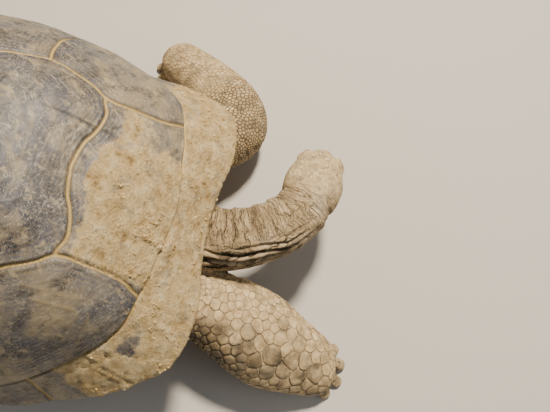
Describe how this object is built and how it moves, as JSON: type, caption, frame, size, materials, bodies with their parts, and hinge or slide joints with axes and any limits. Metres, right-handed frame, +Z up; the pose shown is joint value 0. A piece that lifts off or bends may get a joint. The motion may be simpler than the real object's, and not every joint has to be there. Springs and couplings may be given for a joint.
{
  "type": "giant tortoise",
  "caption": "Giant tortoise at rest: domed scute-covered shell flat on its plastron, neck out and turned, one foreleg stretched forward, the other folded out.",
  "frame": {"origin": "on the floor, under the middle of the shell, in the flat that the plastron rests on", "axes": "+Z up; the animal's front faces -Y and its left side +X"},
  "size_m": [0.8975, 1.3213, 0.5065],
  "materials": {
    "carapace": "worn horn, blue-grey to brown with tan seams and dried mud",
    "plastron": "worn horn, yellowish grey",
    "skin": "dry dusty scaly skin",
    "claw": "worn horn",
    "eye": "dark, wet"
  },
  "bodies": {
    "root": {"carapace": "carapace", "plastron": "plastron", "torso": "skin", "foreleg_right_upper": "skin", "foreleg_right_lower": "skin", "foreleg_right_claw_1": "claw", "foreleg_right_claw_2": "claw", "foreleg_right_claw_3": "claw", "foreleg_right_claw_4": "claw", "foreleg_right_claw_5": "claw", "foreleg_left_upper": "skin", "foreleg_left_lower": "skin", "foreleg_left_claw_1": "claw", "foreleg_left_claw_2": "claw", "foreleg_left_claw_3": "claw", "foreleg_left_claw_4": "claw", "foreleg_left_claw_5": "claw", "hindleg_right_upper": "skin", "hindleg_right_lower": "skin", "hindleg_right_claw_1": "claw", "hindleg_right_claw_2": "claw", "hindleg_right_claw_3": "claw", "hindleg_right_claw_4": "claw", "hindleg_left_upper": "skin", "hindleg_left_lower": "skin", "hindleg_left_claw_1": "claw", "hindleg_left_claw_2": "claw", "hindleg_left_claw_3": "claw", "hindleg_left_claw_4": "claw", "tail": "skin", "neck": "skin", "head": "skin", "eye_left": "eye", "eye_right": "eye"}
  },
  "joints": []
}
